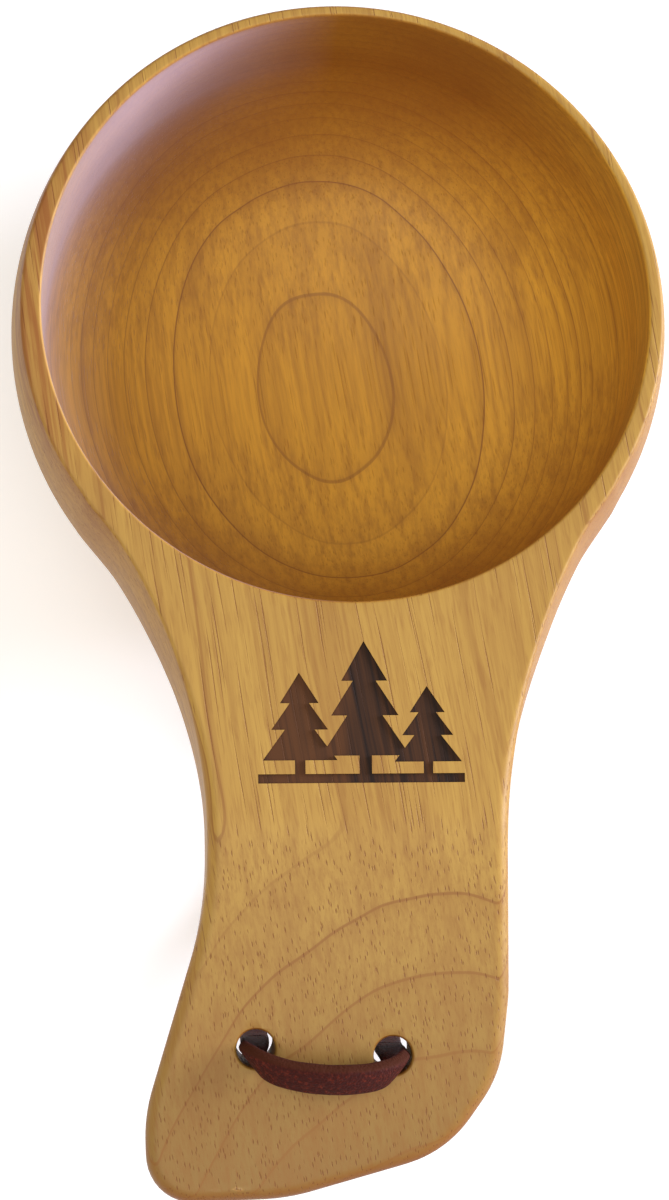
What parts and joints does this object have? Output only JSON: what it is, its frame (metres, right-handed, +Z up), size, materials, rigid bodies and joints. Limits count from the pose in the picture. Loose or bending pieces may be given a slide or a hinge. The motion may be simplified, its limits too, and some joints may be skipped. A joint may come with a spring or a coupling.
{
  "type": "kuksa wooden cup",
  "caption": "Carved wooden drinking cup with a deep round bowl, a broad sloping handle in one piece with it, a burnt tree motif and a knotted leather lace for hanging.",
  "frame": {"origin": "middle of the round foot, on the ground", "axes": "+Z up out of the bowl, the handle points along -Y, +X to the right when the handle points at the viewer"},
  "size_m": [0.0964, 0.174, 0.056],
  "materials": {
    "wood": "satin",
    "lace": "matte"
  },
  "bodies": {
    "root": {"cup": "wood", "lace_bridge": "lace", "lace_strand_left": "lace", "lace_strand_right": "lace", "lace_knot": "lace"}
  },
  "joints": []
}
